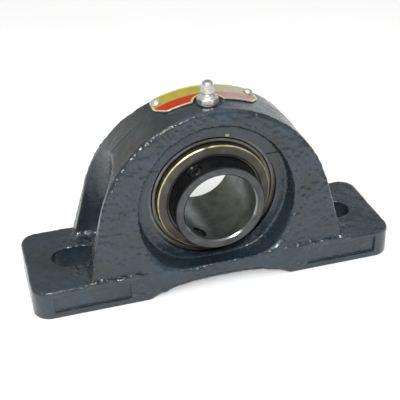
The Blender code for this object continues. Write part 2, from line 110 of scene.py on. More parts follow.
def contour(field, low, high, step, pull=0.05):
    """Dual contouring of field = 0: one vertex in each crossed cell, placed where the crossings' tangent planes meet,
    so that sharp edges stay sharp. Returns points in mm and quads that face out."""
    low = np.array(low, float)
    size = np.ceil((np.array(high, float) - low) / step).astype(int) + 1
    axes = [low[a] + step * np.arange(size[a]) for a in range(3)]
    values = np.empty(size, np.float32)
    yy, zz = np.meshgrid(axes[1], axes[2], indexing="ij")
    for i0 in range(0, size[0], 16):
        xs = axes[0][i0:i0 + 16]
        shape = (len(xs),) + yy.shape
        values[i0:i0 + 16] = field(
            np.broadcast_to(xs[:, None, None], shape), np.broadcast_to(yy, shape), np.broadcast_to(zz, shape))
    inside = values < 0
    cells = size - 1
    entries, corner_sets = [], []
    for axis in range(3):
        a = [slice(None)] * 3
        b = [slice(None)] * 3
        a[axis], b[axis] = slice(0, -1), slice(1, None)
        crossed = np.argwhere(inside[tuple(a)] != inside[tuple(b)])
        o1, o2 = (axis + 1) % 3, (axis + 2) % 3
        ok = (crossed[:, o1] > 0) & (crossed[:, o1] < size[o1] - 1) & (crossed[:, o2] > 0) & (crossed[:, o2] < size[o2] - 1)
        crossed = crossed[ok]
        nxt = crossed.copy()
        nxt[:, axis] += 1
        v0 = values[tuple(crossed.T)].astype(float)
        v1 = values[tuple(nxt.T)].astype(float)
        t0, t1 = np.zeros(len(v0)), np.ones(len(v0))
        f0, f1 = v0.copy(), v1.copy()
        base = low + step * crossed
        for _ in range(3):
            t = np.clip(t0 + (t1 - t0) * f0 / (f0 - f1), t0, t1)
            p = base.copy()
            p[:, axis] += step * t
            f = field(p[:, 0], p[:, 1], p[:, 2])
            same = (f < 0) == (f0 < 0)
            t0, f0 = np.where(same, t, t0), np.where(same, f, f0)
            t1, f1 = np.where(same, t1, t), np.where(same, f1, f)
        t = np.clip(t0 + (t1 - t0) * f0 / np.where(f0 == f1, 1, f0 - f1), 0, 1)
        p = base.copy()
        p[:, axis] += step * t
        n = gradient(field, p)
        ring = []
        for d1, d2 in ((-1, -1), (0, -1), (0, 0), (-1, 0)):
            c = crossed.copy()
            c[:, o1] += d1
            c[:, o2] += d2
            ring.append((c[:, 0] * cells[1] + c[:, 1]) * cells[2] + c[:, 2])
        ring = np.stack(ring, 1)
        ring[v0 > 0] = ring[v0 > 0][:, ::-1]
        entries.append((ring, p, n))
        corner_sets.append(ring)
    ring = np.concatenate([e[0] for e in entries])
    p = np.repeat(np.concatenate([e[1] for e in entries]), 4, axis=0)
    n = np.repeat(np.concatenate([e[2] for e in entries]), 4, axis=0)
    names, index = np.unique(ring.reshape(-1), return_inverse=True)
    index = index.reshape(-1)
    total = len(names)
    count = np.bincount(index, minlength=total).astype(float)
    mid = np.stack([np.bincount(index, p[:, a], total) for a in range(3)], 1) / count[:, None]
    offset = ((p - mid[index]) * n).sum(1)
    m = np.empty((total, 3, 3))
    rhs = np.empty((total, 3))
    for a in range(3):
        rhs[:, a] = np.bincount(index, n[:, a] * offset, total)
        for b in range(a, 3):
            m[:, a, b] = m[:, b, a] = np.bincount(index, n[:, a] * n[:, b], total)
    for a in range(3):
        m[:, a, a] += pull * count
    move = np.linalg.solve(m, rhs[:, :, None])[:, :, 0]
    where = mid + move
    corner = np.stack([names // (cells[1] * cells[2]), (names // cells[2]) % cells[1], names % cells[2]], 1)
    cell_low = low + step * corner
    where = np.clip(where, cell_low - 0.05 * step, cell_low + 1.05 * step)
    return where, index.reshape(-1, 4)


def main_body(points, quads):
    """The largest connected surface, so that no loose crumb is left beside it."""
    label = np.arange(len(points))
    while True:
        fresh = label.copy()
        np.minimum.at(fresh, quads.ravel(), np.repeat(label[quads].min(1), 4))
        fresh = fresh[fresh]
        fresh = fresh[fresh]
        if np.array_equal(fresh, label):
            break
        label = fresh
    names, count = np.unique(label[quads[:, 0]], return_counts=True)
    quads = quads[label[quads[:, 0]] == names[np.argmax(count)]]
    used, index = np.unique(quads, return_inverse=True)
    return points[used], index.reshape(-1, 4)


def mesh_object(name, points, faces, mats, face_mats=None, sharp=40.0):
    """An object from points in mm and quads or triangles."""
    mesh = bpy.data.meshes.new(name)
    points = np.asarray(points, np.float32) * MM
    if isinstance(faces, np.ndarray):
        mesh.vertices.add(len(points))
        mesh.vertices.foreach_set("co", points.ravel())
        per = faces.shape[1]
        mesh.loops.add(faces.size)
        mesh.loops.foreach_set("vertex_index", faces.astype(np.int32).ravel())
        mesh.polygons.add(len(faces))
        mesh.polygons.foreach_set("loop_start", np.arange(0, faces.size, per, dtype=np.int32))
        mesh.polygons.foreach_set("loop_total", np.full(len(faces), per, np.int32))
        mesh.update(calc_edges=True)
        mesh.validate()
    else:
        mesh.from_pydata([tuple(q) for q in points], [], faces)
    for mat in mats:
        mesh.materials.append(mat)
    if face_mats is not None:
        mesh.polygons.foreach_set("material_index", np.asarray(face_mats, np.int32))
    mesh.shade_smooth()
    mesh.set_sharp_from_angle(angle=math.radians(sharp))
    mesh.update()
    obj = bpy.data.objects.new(name, mesh)
    bpy.context.scene.collection.objects.link(obj)
    return obj


def rounded_outline(points, radii, steps=4):
    """A closed outline with each corner replaced by an arc of about its radius."""
    out = []
    n = len(points)
    for i, ((x, y), r) in enumerate(zip(points, radii)):
        if r <= 0:
            out.append((x, y))
            continue
        a = Vector((points[i - 1][0] - x, points[i - 1][1] - y))
        b = Vector((points[(i + 1) % n][0] - x, points[(i + 1) % n][1] - y))
        half = a.angle(b) / 2
        cut = min(r / math.tan(half), a.length * 0.48, b.length * 0.48)
        r = cut * math.tan(half)
        a.normalize()
        b.normalize()
        c = (a + b).normalized() * (r / math.sin(half))
        start = a * cut - c
        end = b * cut - c
        turn = math.atan2(start.x * end.y - start.y * end.x, start.dot(end))
        for s in range(steps + 1):
            t = turn * s / steps
            v = Vector((start.x * math.cos(t) - start.y * math.sin(t), start.x * math.sin(t) + start.y * math.cos(t)))
            out.append((x + c.x + v.x, y + c.y + v.y))
    return out


def arc_points(centre, radius, a0, a1, count):
    return [
        (centre[0] + radius * math.cos(math.radians(a0 + (a1 - a0) * i / count)),
         centre[1] + radius * math.sin(math.radians(a0 + (a1 - a0) * i / count)))
        for i in range(count + 1)
    ]


def turned(name, profile, mats, steps=160, pick=None, sharp=32.0, frame_of=None):
    """A ring from a closed outline of (radius, height) turned about an axis.
    frame_of is (origin, axis, across): the shaft axis if left out."""
    if frame_of is None:
        origin, axis, across = Vector((0, 0, H)), Vector((0, 1, 0)), Vector((1, 0, 0))
    else:
        origin, axis, across = (Vector(v) for v in frame_of)
    other = axis.cross(across)
    prof = np.array(profile, float)
    area = 0.5 * np.sum(prof[:, 0] * np.roll(prof[:, 1], -1) - np.roll(prof[:, 0], -1) * prof[:, 1])
    if area < 0:
        prof = prof[::-1]
    t = np.linspace(0, 2 * math.pi, steps, endpoint=False)
    k = len(prof)
    o, a, u, v = (np.array(q) for q in (origin, axis, across, other))
    spokes = np.cos(t)[:, None] * u + np.sin(t)[:, None] * v
    pts = o + spokes[:, None, :] * prof[None, :, :1] + prof[None, :, 1:] * a
    pts = pts.reshape(-1, 3)
    faces, kinds = [], []
    solid = prof[:, 0] < 1e-6
    for i in range(steps):
        j = (i + 1) % steps
        for q in range(k):
            r = (q + 1) % k
            if solid[q] and solid[r]:
                continue
            quad = [i * k + q, i * k + r, j * k + r, j * k + q]
            if solid[q]:
                quad = [q, i * k + r, j * k + r]
            elif solid[r]:
                quad = [i * k + q, r, j * k + q]
            faces.append(quad)
            kinds.append(0 if pick is None else pick(*(0.5 * (prof[q] + prof[r]))))
    bm = bmesh.new()
    verts = [bm.verts.new(Vector(p) * MM) for p in pts]
    for quad, kind in zip(faces, kinds):
        face = bm.faces.new([verts[q] for q in quad])
        face.material_index = kind
    loose = [vert for vert in bm.verts if not vert.link_faces]
    bmesh.ops.delete(bm, geom=loose, context="VERTS")
    bmesh.ops.recalc_face_normals(bm, faces=bm.faces)
    mesh = bpy.data.meshes.new(name)
    bm.to_mesh(mesh)
    bm.free()
    for mat in mats:
        mesh.materials.append(mat)
    mesh.shade_smooth()
    mesh.set_sharp_from_angle(angle=math.radians(sharp))
    obj = bpy.data.objects.new(name, mesh)
    bpy.context.scene.collection.objects.link(obj)
    return obj


def cut_away(obj, cutters, sharp=32.0):
    """Boolean difference, applied, and the cutters removed."""
    for cutter in cutters:
        mod = obj.modifiers.new("cut", "BOOLEAN")
        mod.operation = "DIFFERENCE"
        mod.solver = "EXACT"
        mod.object = cutter
    bpy.context.view_layer.update()
    graph = bpy.context.evaluated_depsgraph_get()
    mesh = bpy.data.meshes.new_from_object(obj.evaluated_get(graph))
    obj.modifiers.clear()
    old = obj.data
    obj.data = mesh
    bpy.data.meshes.remove(old)
    for cutter in cutters:
        bpy.data.objects.remove(cutter)
    mesh.shade_smooth()
    mesh.set_sharp_from_angle(angle=math.radians(sharp))


def polar(angle, radius):
    t = math.radians(angle)
    return radius * math.cos(t), radius * math.sin(t)


# ================================================================ materials
class Paint:
    """A procedural material. Every number that is the same all over goes straight on the shader's socket."""

    def __init__(self, name, rough=0.5, metal=0.0, spec=0.5, coat=0.0, coat_rough=0.1):
        self.mat = bpy.data.materials.new(name)
        self.mat.use_nodes = True
        self.nodes = self.mat.node_tree.nodes
        self.links = self.mat.node_tree.links
        self.shader = self.nodes["Principled BSDF"]
        self.shader.inputs["Metallic"].default_value = metal
        self.shader.inputs["Roughness"].default_value = rough
        self.shader.inputs["Specular IOR Level"].default_value = spec
        self.shader.inputs["Coat Weight"].default_value = coat
        self.shader.inputs["Coat Roughness"].default_value = coat_rough
        self.where = self.nodes.new("ShaderNodeTexCoord").outputs["Object"]
        self.height = None

    def noise(self, size, detail=3.0, rough=0.55, where=None, stretch=None, offset=0.0, distort=0.0):
        """Noise with lumps about size mm wide, 0 to 1."""
        source = where or self.where
        mapping = self.nodes.new("ShaderNodeMapping")
        mapping.inputs["Location"].default_value = (offset, offset * 0.7, offset * 1.3)
        mapping.inputs["Scale"].default_value = stretch or (1, 1, 1)
        self.links.new(source, mapping.inputs["Vector"])
        node = self.nodes.new("ShaderNodeTexNoise")
        node.inputs["Scale"].default_value = 1.0 / (size * MM)
        node.inputs["Detail"].default_value = detail
        node.inputs["Roughness"].default_value = rough
        node.inputs["Distortion"].default_value = distort
        self.links.new(mapping.outputs["Vector"], node.inputs["Vector"])
        return node.outputs["Fac"]

    def ramp(self, value, stops):
        node = self.nodes.new("ShaderNodeValToRGB")
        ramp = node.color_ramp
        while len(ramp.elements) < len(stops):
            ramp.elements.new(0.5)
        for element, (place, colour) in zip(ramp.elements, stops):
            element.position = place
            element.color = (*colour, 1.0) if hasattr(colour, "__len__") else (colour, colour, colour, 1.0)
        self.links.new(value, node.inputs["Fac"])
        return node.outputs["Color"]

    def spread(self, value, low, high, to_low, to_high):
        node = self.nodes.new("ShaderNodeMapRange")
        for key, number in (("From Min", low), ("From Max", high), ("To Min", to_low), ("To Max", to_high)):
            node.inputs[key].default_value = number
        self.links.new(value, node.inputs["Value"])
        return node.outputs["Result"]

    def mix(self, factor, a, b):
        node = self.nodes.new("ShaderNodeMix")
        node.data_type = "RGBA"
        for key, item in ((0, factor), (6, a), (7, b)):
            socket = node.inputs[key]
            if hasattr(item, "links"):
                self.links.new(item, socket)
            elif hasattr(item, "__len__"):
                socket.default_value = (*item, 1.0)
            else:
                socket.default_value = item
        return node.outputs[2]

    def maths(self, kind, a, b=0.0):
        node = self.nodes.new("ShaderNodeMath")
        node.operation = kind
        for key, item in ((0, a), (1, b)):
            if hasattr(item, "links"):
                self.links.new(item, node.inputs[key])
            else:
                node.inputs[key].default_value = item
        return node.outputs[0]

    def near(self, point, radius, soft=0.4):
        """1 within radius mm of a point in mm, fading to 0, with a ragged edge."""
        node = self.nodes.new("ShaderNodeVectorMath")
        node.operation = "DISTANCE"
        self.links.new(self.where, node.inputs[0])
        node.inputs[1].default_value = tuple(c * MM for c in point)
        ragged = self.spread(self.noise(0.9, 2.0, offset=0.31), 0.3, 0.7, -soft * MM, soft * MM)
        return self.spread(self.maths("ADD", node.outputs["Value"], ragged), (radius - 0.15) * MM, (radius + 0.15) * MM, 1.0, 0.0)

    def axis(self, index):
        node = self.nodes.new("ShaderNodeSeparateXYZ")
        self.links.new(self.where, node.inputs[0])
        return node.outputs[index]

    def colour(self, value):
        if hasattr(value, "links"):
            self.links.new(value, self.shader.inputs["Base Color"])
        else:
            self.shader.inputs["Base Color"].default_value = (*value, 1.0)

    def roughness(self, value):
        self.links.new(value, self.shader.inputs["Roughness"])

    def bump(self, value, height, strength=1.0):
        """height in mm"""
        node = self.nodes.new("ShaderNodeBump")
        node.inputs["Distance"].default_value = height * MM
        node.inputs["Strength"].default_value = strength
        self.links.new(value, node.inputs["Height"])
        if self.height is not None:
            self.links.new(self.height, node.inputs["Normal"])
        self.height = node.outputs["Normal"]
        self.links.new(self.height, self.shader.inputs["Normal"])


def enamel():
    p = Paint("housing_enamel", rough=0.28, spec=0.5, coat=0.25, coat_rough=0.12)
    broad = p.noise(16.0, 3.0, 0.5)
    fine = p.noise(3.2, 4.0, 0.6, offset=0.11)
    base = p.ramp(broad, [(0.34, (0.012, 0.018, 0.022)), (0.52, (0.0145, 0.024, 0.033)), (0.68, (0.017, 0.031, 0.046))])
    shade = p.ramp(fine, [(0.36, (0.82, 0.82, 0.82)), (0.6, (1.08, 1.08, 1.08))])
    mult = p.nodes.new("ShaderNodeMix")
    mult.data_type = "RGBA"
    mult.blend_type = "MULTIPLY"
    mult.inputs[0].default_value = 1.0
    p.links.new(base, mult.inputs[6])
    p.links.new(shade, mult.inputs[7])
    colour = mult.outputs[2]
    # a dab of inspector's paint on the edge of the opening
    x, z = polar(78.2, 29.2)
    colour = p.mix(p.near((x, -BOSS, H + z), 0.8), colour, (0.23, 0.24, 0.03))
    p.colour(colour)
    p.roughness(p.spread(p.noise(5.0, 4.0, 0.65, offset=0.23), 0.3, 0.7, 0.17, 0.36))
    p.bump(p.noise(1.9, 4.0, 0.62, offset=0.05, distort=0.8), 0.16, 1.0)
    # short level wrinkles where the enamel ran, strong in some patches and absent in others
    patch = p.spread(p.noise(13.0, 2.0, 0.5, offset=0.61), 0.44, 0.60, 0.15, 1.0)
    runs = p.noise(1.25, 3.0, 0.6, stretch=(0.55, 1.0, 1.5), offset=0.37, distort=1.0)
    p.bump(p.maths("MULTIPLY", runs, patch), 0.20, 1.0)
    p.bump(p.noise(0.75, 2.0, 0.5, offset=0.4), 0.10, 1.0)
    return p.mat


def machined(name, colour, dark, rough, metal=1.0, along="rings", depth=0.012, spec=0.5):
    """Turned or ground metal: fine circles about the shaft axis, with a few stains."""
    p = Paint(name, rough=rough, metal=metal, spec=spec)
    stain = p.noise(7.0, 4.0, 0.6)
    p.colour(p.mix(p.spread(stain, 0.42, 0.68, 0.0, 1.0), colour, dark))
    p.roughness(p.spread(p.noise(4.0, 3.0, 0.6, offset=0.2), 0.3, 0.7, rough * 0.8, rough * 1.25))
    if along == "rings":
        x, z = p.axis(0), p.maths("SUBTRACT", p.axis(2), H * MM)
        radius = p.maths("SQRT", p.maths("ADD", p.maths("MULTIPLY", x, x), p.maths("MULTIPLY", z, z)))
        join = p.nodes.new("ShaderNodeCombineXYZ")
        p.links.new(radius, join.inputs[0])
        p.links.new(p.axis(1), join.inputs[1])
        lines = p.noise(0.22, 2.0, 0.5, where=join.outputs[0])
        p.bump(lines, depth, 0.7)
    else:
        p.bump(p.noise(0.5, 3.0, 0.5, offset=0.3), depth, 0.7)
    return p.mat


def zinc():
    p = Paint("bright_zinc", rough=0.38, metal=0.85)
    spots = p.noise(1.3, 4.0, 0.65)
    p.colour(p.ramp(spots, [(0.3, (0.36, 0.35, 0.31)), (0.5, (0.60, 0.59, 0.56)), (0.75, (0.72, 0.72, 0.70))]))
    p.roughness(p.spread(p.noise(0.8, 3.0, 0.6, offset=0.2), 0.3, 0.7, 0.30, 0.46))
    p.bump(p.noise(0.7, 3.0, 0.6, offset=0.7), 0.018, 0.6)
    return p.mat


def plate_paint(name, colour, dark, rough=0.38, metal=0.25):
    p = Paint(name, rough=rough, metal=metal, spec=0.3)
    p.colour(p.mix(p.spread(p.noise(2.6, 4.0, 0.65, offset=0.4), 0.45, 0.75, 0.0, 0.85), colour, dark))
    p.roughness(p.spread(p.noise(1.5, 3.0, 0.6, offset=0.1), 0.3, 0.7, rough * 0.75, rough * 1.3))
    p.bump(p.noise(1.0, 3.0, 0.55, offset=0.9), 0.02, 0.6)
    return p.mat


MAT = {}


def make_materials():
    MAT["enamel"] = enamel()
    MAT["bore_cut"] = machined("machined_iron", (0.20, 0.20, 0.20), (0.10, 0.10, 0.09), 0.38)
    MAT["ring"] = machined("outer_ring_steel", (0.165, 0.168, 0.160), (0.11, 0.112, 0.105), 0.40, metal=0.85)
    # painted shade: the inner ring's collar surfaces are near black and dull, standing in for the dark gap between the
    # flinger and the end face
    MAT["collar"] = machined("collar_painted_shade", (0.009, 0.009, 0.010), (0.005, 0.005, 0.005), 0.24, metal=0.2, spec=0.3)
    MAT["face"] = machined("ground_end_face", (0.075, 0.078, 0.082), (0.04, 0.042, 0.045), 0.30, metal=0.7, depth=0.02)
    MAT["chamfer"] = machined("ground_chamfer", (0.24, 0.24, 0.24), (0.15, 0.15, 0.15), 0.20)
    MAT["bore"] = machined("honed_bore", (0.105, 0.118, 0.117), (0.060, 0.066, 0.056), 0.34, metal=0.85)
    MAT["race"] = machined("race_steel", (0.56, 0.56, 0.56), (0.42, 0.42, 0.41), 0.16)
    MAT["ball"] = machined("ball_steel", (0.66, 0.66, 0.66), (0.52, 0.52, 0.52), 0.08, along="grain", depth=0.003)
    MAT["cage"] = machined("cage_steel", (0.42, 0.42, 0.41), (0.30, 0.30, 0.29), 0.34, along="grain", depth=0.02)
    MAT["seal_case"] = machined("seal_case_steel", (0.155, 0.153, 0.143), (0.10, 0.098, 0.09), 0.42, metal=0.8)
    MAT["screw"] = machined("black_oxide_screw", (0.045, 0.045, 0.048), (0.02, 0.02, 0.02), 0.3, metal=0.8, along="grain", depth=0.02)
    MAT["spring"] = machined("spring_wire", (0.5, 0.5, 0.5), (0.35, 0.35, 0.34), 0.3, along="grain", depth=0.01)
    MAT["zinc"] = zinc()

    p = Paint("flinger_rim", rough=0.42, metal=0.7, spec=0.4)
    rim = p.ramp(p.noise(3.0, 3.0), [(0.35, (0.42, 0.37, 0.10)), (0.6, (0.66, 0.61, 0.30))])
    x, z = polar(97.5, 25.1)
    p.colour(p.mix(p.near((x, -12.4, H + z), 1.3, 0.5), rim, (0.10, 0.11, 0.03)))
    p.bump(p.noise(0.7, 3.0), 0.015, 0.6)
    MAT["rim"] = p.mat

    p = Paint("flinger_cone", rough=0.4, metal=0.55)
    p.colour(p.ramp(p.noise(6.0, 4.0, 0.6), [(0.35, (0.040, 0.037, 0.032)), (0.65, (0.075, 0.070, 0.060))]))
    p.roughness(p.spread(p.noise(3.0, 3.0, offset=0.3), 0.3, 0.7, 0.32, 0.5))
    p.bump(p.noise(0.9, 3.0), 0.03, 0.6)
    MAT["cone"] = p.mat

    p = Paint("nitrile_rubber", rough=0.55, spec=0.4)
    p.colour(p.ramp(p.noise(2.0, 4.0), [(0.3, (0.012, 0.012, 0.012)), (0.7, (0.022, 0.022, 0.021))]))
    p.bump(p.noise(0.4, 3.0), 0.03, 0.7)
    MAT["rubber"] = p.mat

    MAT["gold"] = plate_paint("plate_gold", (0.40, 0.34, 0.045), (0.28, 0.25, 0.05))
    # painted sheen: the next material and the band's paler copy are the gold and the red again, paler and greyer, for
    # the right half of the plate past the crest, which catches the light
    MAT["tan"] = plate_paint("plate_gold_painted_sheen", (0.40, 0.37, 0.24), (0.30, 0.28, 0.19))
    MAT["cream"] = plate_paint("plate_border", (0.58, 0.53, 0.26), (0.42, 0.39, 0.17))
    MAT["red"] = plate_paint("plate_band", (0.47, 0.034, 0.004), (0.36, 0.02, 0.004))
    MAT["pink"] = plate_paint("plate_band_painted_sheen", (0.42, 0.21, 0.20), (0.33, 0.13, 0.12))
    MAT["bare"] = machined("plate_edge_metal", (0.5, 0.5, 0.48), (0.36, 0.36, 0.34), 0.35, along="grain", depth=0.01)

    p = Paint("floor", rough=0.7, spec=0.2)
    p.colour(p.ramp(p.noise(60.0, 2.0), [(0.3, (0.93, 0.93, 0.93)), (0.7, (0.95, 0.95, 0.95))]))
    MAT["floor"] = p.mat


# ================================================================ housing
def housing_field(x, y, z, rough=True):
    """Distance to the casting's surface, negative inside it."""
    ax, ay = np.abs(x), np.abs(y)

    # foot: a slab with round corners, its sides leaning in a little towards the top
    lean = 0.006 * z
    centre = smooth(ax, 44.0, 26.0)
    depth = FOOT_DEPTH - lean - centre * np.maximum(0.0, FOOT_DEPTH - lean - (24.9 - 0.145 * z))
    qx, qy = ax - FOOT_HALF + 7.5 + lean, ay - depth + 7.5
    foot = np.hypot(np.maximum(qx, 0), np.maximum(qy, 0)) + np.minimum(np.maximum(qx, qy), 0) - 7.5
    foot = rounded_common(foot, z - FOOT_TOP, 1.3)

    # arch: round top over straight flanks, faces leaning in with height
    dz = z - ARCH_Z
    s, c = math.sin(math.radians(15)), math.cos(math.radians(15))
    radius = ARCH_R + 0.1 - 0.016 * np.abs(y - 1.5) + 0.16 * np.exp(-((y - 1.5) / 0.45) ** 2) * smooth(ax, 27.0, 31.0)
    arch = np.where(dz * c > ax * s, np.hypot(x, dz), ax * c + dz * s) - radius
    face = (ay - (24.9 - 0.145 * z)) * 0.9897
    arch = rounded_common(arch, face, 1.5)
    arch = np.maximum(arch, 4.0 - z)

    # pockets for the bolt heads, one at each end
    px = ax - 62.7
    nose = np.where(px < 0, np.hypot(px, y), ay) - 21.5
    pocket = rounded_common(nose, ay - 15.4, 2.6)
    arch = rounded_cut(arch, pocket, 0.55)

    # the arch flows into the foot: a wide fillet in the pockets, a tight one along the faces, fading away in the middle
    fillet = 0.15 + 0.55 * (1 - centre) + 2.3 * smooth(ay, 19.0, 15.5) * (1 - centre)
    body = rounded_union(arch, foot, fillet)

    # shallow arch under the base
    middle = (4.6 + 2.9 * ay / FOOT_DEPTH) * (1 - np.minimum(ax / 32.5, 1.3) ** 3.2)
    relief = (z - middle) * 0.93
    body = rounded_cut(body, relief, 0.5)
    body = rounded_common(body, -z, 0.35)

    # bolt slots
    slot = np.hypot(np.maximum(np.abs(ax - 60.3) - 3.35, 0), y) - 7.15
    body = rounded_cut(body, slot, 0.55)

    # a rough bead of surplus iron along the mould joint, where the arch's face meets the foot
    bead = 0.95 * smooth(ax, 27.0, 37.0) * smooth(ax, 62.5, 60.0)
    if rough:
        bead = bead * (1.0 + 0.55 * noise(x, y, z, 1.5, 7) + 0.25 * noise(x, y, z, 0.9, 8))
    bead = np.hypot((z - 13.35) * 0.9, -y - 23.1) - bead
    body = rounded_union(body, bead, 0.3)

    # recess round the boss ring, with a ramp along its bottom
    r = np.hypot(x, z - H)
    wall = r - (RECESS_R - 0.6 + 0.07 * np.maximum(ay - BOSS, 0))
    n = math.hypot(4.6, 11.3)
    ramp = (4.6 * (ay - BOSS) - 11.3 * (z - 8.1)) / n
    recess = rounded_common(rounded_common(wall, ramp, 5.0), BOSS - ay, 1.4)
    soft = 0.85 + 2.1 * smooth(z, 46.0, 24.0) * np.maximum(smooth(-x, 2.0, 12.0), smooth(x, 17.0, 25.0))
    body = rounded_cut(body, recess, soft)

    cast = body
    if rough:
        lump = 0.12 * noise(x, y, z, 9.0, 1) + 0.06 * noise(x, y, z, 4.2, 2) + 0.035 * noise(x, y, z, 2.1, 3)
        calm = smooth(z, 0.2, 1.5) * (1 - 0.8 * smooth(z, 78.0, 80.0) * smooth(ax, 9.0, 7.0))
        plate = smooth(ax, 25.0, 22.0) * smooth(z, 72.0, 75.0) * smooth(y, -5.0, -3.0)
        ledge = np.exp(-((z - FOOT_TOP) / 1.1) ** 2) * smooth(ay, 21.5, 22.8) * smooth(ax, 24.0, 34.0)
        ledge = ledge * (1 - 0.6 * smooth(ax, 56.0, 62.0))
        lump = lump * (1 + 1.6 * ledge) + 0.20 * ledge * noise(x, y, z, 1.35, 7)
        edge = np.exp(-(arch / 1.2) ** 2) * np.exp(-(face / 1.6) ** 2)
        lump = lump + 0.28 * edge * noise(x, y, z, 1.35, 11)
        corner = np.exp(-((wall + 0.5) / 1.3) ** 2) * np.exp(-((ay - BOSS - 0.5) / 1.2) ** 2)
        lump = lump + 0.18 * corner * noise(x, y, z, 1.35, 13)
        bed = smooth(np.abs(z - 14.6), 2.6, 0.8) * smooth(ay, 17.0, 14.5) * smooth(ax, 68, 62)
        lump = lump + 0.32 * bed * noise(x, y, z, 1.35, 9)
        cast = body + (lump - 0.02) * calm * (1 - 0.85 * plate)

    # cast-in blank panels on the front of the feet, sand-rough and without any mark
    pz, pxx = np.abs(z - 6.8) - 4.0, np.abs(ax - 57.5) - 16.5
    front = y + FOOT_DEPTH - 1.0
    panel = rounded_common(rounded_common(pz, pxx, 0.6), front, 0.2)
    if rough:
        sand = 0.20 * noise(x, y, z, 1.5, 5) + 0.14 * noise(x, y, z, 0.8, 6)
        panel = panel + (sand + 0.10) * smooth(np.maximum(pz, pxx), -0.4, -0.8)
    cast = rounded_cut(cast, panel, 0.25)

    # two shallow marks across the boss ring
    line = np.maximum(np.abs(z - H - 17.0) - 0.22, np.abs(ax - 26.2) - 3.2)
    cast = np.maximum(cast, -np.maximum(line, BOSS - 0.3 - ay))

    # machined: spherical seat, its entry, the back's loading slots, fitting seat and small holes
    ball = np.sqrt(x * x + y * y + (z - H) ** 2) - SEAT_R
    cast = np.maximum(cast, -ball)
    load = np.maximum(np.maximum(ax - 31.3, np.abs(z - H) - 9.9), np.maximum(-y, y - 14.0))
    cast = rounded_cut(cast, load, 0.5)
    fr = np.hypot(x, y - FITTING_Y)
    spot = rounded_common(fr - 5.9, 80.2 - z, 0.3)
    cast = rounded_cut(cast, spot, 0.4)
    cast = np.maximum(cast, -np.maximum(fr - 3.2, 75.2 - z))
    cast = np.maximum(cast, -np.maximum(fr - 0.9, 66.0 - z))
    key = np.maximum(np.maximum(ax - 1.65, ay - 2.9), np.abs(z - H - 30.6) - 2.6)
    cast = np.maximum(cast, -key)
    for angle, py in ((-21.3, 7.6), (24.3, 7.6)):
        t = math.radians(angle)
        along = x * math.sin(t) + dz * math.cos(t) - ARCH_R
        across = x * math.cos(t) - dz * math.sin(t)
        hole = np.hypot(across, y - py) - 1.35
        cast = np.maximum(cast, -np.maximum(hole, -6.2 - along))
    return cast


def make_housing():
    step = 0.55
    points, quads = contour(
        housing_field, (-83.51, -25.32, -0.93), (83.6, 24.9, 82.4), step)
    points, quads = main_body(points, quads)
    mid = points[quads].mean(1)
    r = np.sqrt(mid[:, 0] ** 2 + mid[:, 1] ** 2 + (mid[:, 2] - H) ** 2)
    seat = (np.abs(r - SEAT_R) < 0.05)
    obj = mesh_object("housing_casting", points, quads, [MAT["enamel"], MAT["bore_cut"]], seat.astype(int), sharp=50)
    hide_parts("housing")
    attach(obj, "housing")
    return obj


# ================================================================ nameplate
def plate_shape(s, y):
    """Distance in the plate's own flat pattern: s along the arc, y along the shaft."""
    a0, a1 = -22.0, 25.2
    body = np.maximum(np.maximum(a0 - s, s - a1), np.maximum(-3.2 - y, y - 12.0))
    k = 0.7071
    for cx, cy, nx, ny in (
        (a0 + 4.4, -3.2, -1.25, -1.0), (a1 - 4.6, -3.2, 1.25, -1.0),
        (a0 + 2.0, 12.0, -1.0, 1.0), (a1 - 2.0, 12.0, 1.0, 1.0),
    ):
        m = math.hypot(nx, ny)
        body = rounded_common(body, ((s - cx) * nx + (y - cy) * ny) / m, 0.9)
    notch = np.hypot(s - 0.5, y - FITTING_Y) - 6.4
    body = rounded_cut(body, notch, 1.0)
    return body


def plate_band(s, y):
    """The coloured band along the plate's front."""
    edge = plate_shape(s, y)
    return np.maximum(edge + 1.05, y - 3.9)


def make_nameplate():
    inner = ARCH_R + 0.25
    thick = 0.6

    def field(s, y, t):
        edge = plate_shape(s, y)
        border = smooth(edge, -0.95, -0.75)
        band = smooth(plate_band(s, y), 0.1, -0.1)
        rule = np.exp(-((y - 5.0) / 0.22) ** 2) * smooth(edge, -1.4, -1.9)
        top = thick - 0.16 + 0.16 * border + 0.04 * band + 0.05 * rule
        wave = 0.03 * np.sin(s * 0.7) * np.cos(y * 0.6)
        solid = rounded_common(edge, t - top - wave * 0.5, 0.12)
        solid = np.maximum(solid, -t)
        for angle, py in ((-21.3, 7.6), (24.3, 7.6)):
            cs = math.radians(angle) * ARCH_R
            solid = np.maximum(solid, -(np.hypot(s - cs, y - py) - 1.5))
        return solid

    step = 0.16
    points, quads = contour(field, (-22.61, -3.83, -0.23), (25.9, 12.7, 0.95), step, pull=0.02)
    mid = points[quads].mean(1)
    edge = plate_shape(mid[:, 0], mid[:, 1])
    band = plate_band(mid[:, 0], mid[:, 1])
    kinds = np.full(len(mid), 5)
    top = mid[:, 2] > 0.3
    kinds[top & (mid[:, 0] < 0)] = 0
    # right of the crest the gold and the red band take their paler copies: painted sheen
    kinds[top & (mid[:, 0] >= 0)] = 1
    kinds[top & (band < 0) & (mid[:, 0] < 0)] = 3
    kinds[top & (band < 0) & (mid[:, 0] >= 0)] = 4
    kinds[top & (edge > -0.85)] = 2
    kinds[(edge > -0.06)] = 5
    t = points[:, 0] / ARCH_R
    radius = inner + points[:, 2]
    bent = np.stack([radius * np.sin(t), points[:, 1], ARCH_Z + radius * np.cos(t)], 1)
    obj = mesh_object("nameplate_sheet", bent, quads,
                      [MAT["gold"], MAT["tan"], MAT["cream"], MAT["red"], MAT["pink"], MAT["bare"]], kinds, sharp=40)
    bm = bmesh.new()
    bm.from_mesh(obj.data)
    bmesh.ops.recalc_face_normals(bm, faces=bm.faces)
    bm.to_mesh(obj.data)
    bm.free()
    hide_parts("nameplate")
    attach(obj, "housing")


